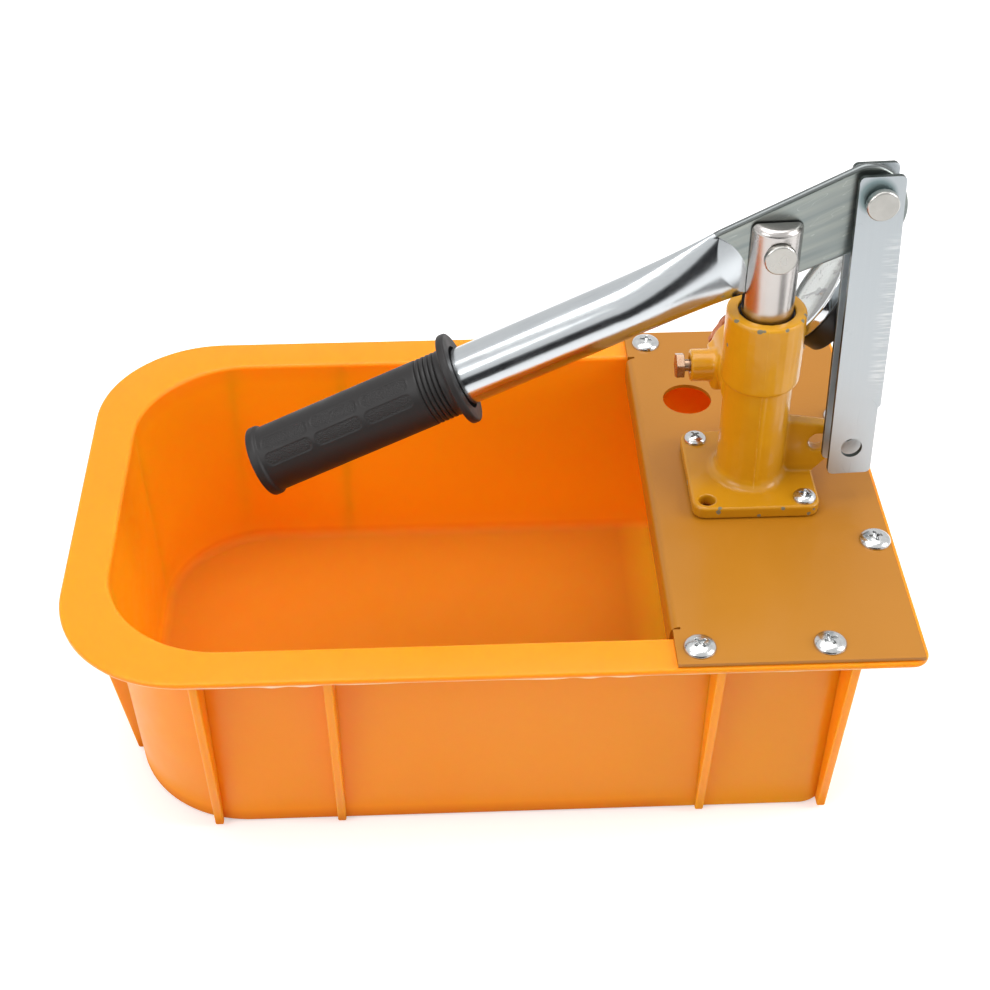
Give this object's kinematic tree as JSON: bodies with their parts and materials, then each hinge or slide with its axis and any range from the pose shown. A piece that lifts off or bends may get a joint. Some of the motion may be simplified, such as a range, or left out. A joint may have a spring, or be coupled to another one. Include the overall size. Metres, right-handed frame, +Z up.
{
  "type": "hydrostatic test pump",
  "caption": "Hand-lever plunger pump on a rectangular water tank, with linked lever, pressure gauge, outlet and release screw, for pressure-testing pipework.",
  "frame": {"origin": "under the middle of the tank, on the surface it stands on", "axes": "+X along the tank towards the pump, +Y to the outlet's side, +Z up"},
  "size_m": [0.4, 0.2614, 0.3028],
  "materials": {
    "orange_plastic": "satin",
    "mustard_paint": "satin",
    "casting_paint": "painted, gloss",
    "plated_steel": "bright zinc plate",
    "polished_steel": "polished",
    "spring_steel": "dark",
    "zinc_plate": "dull zinc plate",
    "brass": "turned",
    "black_rubber": "moulded",
    "black_enamel": "gloss",
    "gauge_glass": "clear",
    "dial_white": "satin",
    "pointer_black": "matt",
    "grey_plastic": "satin"
  },
  "bodies": {
    "base": {"tank": "orange_plastic", "cover_plate": "mustard_paint", "pump_casting": "casting_paint", "wiper_ring": "black_rubber", "plunger_seal": "black_rubber", "suction_seat": "brass", "suction_pipe": "grey_plastic", "suction_strainer": "grey_plastic", "outlet_nipple": "brass", "gauge_case": "black_enamel", "gauge_bezel": "polished_steel", "gauge_lens": "gauge_glass", "gauge_dial": "dial_white", "gauge_stem": "brass", "cover_screw_1": "plated_steel", "cover_screw_2": "plated_steel", "cover_screw_3": "plated_steel", "cover_screw_4": "plated_steel", "cover_screw_5": "plated_steel", "cover_screw_6": "plated_steel", "cover_nut_1": "plated_steel", "cover_nut_2": "plated_steel", "cover_nut_3": "plated_steel", "cover_nut_4": "plated_steel", "cover_nut_5": "plated_steel", "cover_nut_6": "plated_steel", "casting_screw_1": "plated_steel", "casting_screw_2": "plated_steel", "casting_screw_3": "plated_steel", "casting_nut_1": "plated_steel", "casting_nut_2": "plated_steel", "casting_nut_3": "plated_steel"},
    "release_screw_body": {"release_screw": "brass"},
    "gauge_pointer_body": {"gauge_pointer": "pointer_black"},
    "suction_ball_body": {"suction_ball": "polished_steel"},
    "plunger_body": {"plunger": "polished_steel", "plunger_pin": "plated_steel", "plunger_pin_clip": "spring_steel"},
    "lever_body": {"lever": "plated_steel", "lever_grip": "black_rubber", "link_pin": "plated_steel", "link_pin_clip": "spring_steel"},
    "links_body": {"front_link": "zinc_plate", "back_link": "zinc_plate"}
  },
  "joints": [
    {"name": "lever_raise", "type": "hinge", "parent": "plunger_body", "child": "lever_body", "pos_m": [0.1351, 0, 0.2634], "axis": [-0.0471, 0.9989, 0], "range_deg": [0, 60]},
    {"name": "plunger_stroke", "type": "slide", "parent": "base", "child": "plunger_body", "axis": [0, 0, 1], "range_m": [0, 0.053]},
    {"name": "link_swing", "type": "hinge", "parent": "lever_body", "child": "links_body", "pos_m": [0.17927, 0.00208, 0.28741], "axis": [-0.0471, 0.9989, 0], "range_deg": [-60, 0]},
    {"name": "release_turn", "type": "hinge", "parent": "base", "child": "release_screw_body", "pos_m": [0.1051, 0.024, 0.1789], "axis": [-1, 0, 0], "range_deg": [0, 360]},
    {"name": "pointer_turn", "type": "hinge", "parent": "base", "child": "gauge_pointer_body", "pos_m": [0.17085, 0.0298, 0.21331], "axis": [0.8434, -0.1599, -0.5129], "range_deg": [0, 270], "stiffness_Nm_per_rad": 0.00005},
    {"name": "suction_ball_lift", "type": "slide", "parent": "base", "child": "suction_ball_body", "axis": [0, 0, 1], "range_m": [0, 0.0022]}
  ],
  "couplings": [
    {"joint": "plunger_stroke", "follows": "lever_raise", "m_per_rad": 0.0493},
    {"joint": "link_swing", "follows": "lever_raise", "ratio": -1}
  ]
}
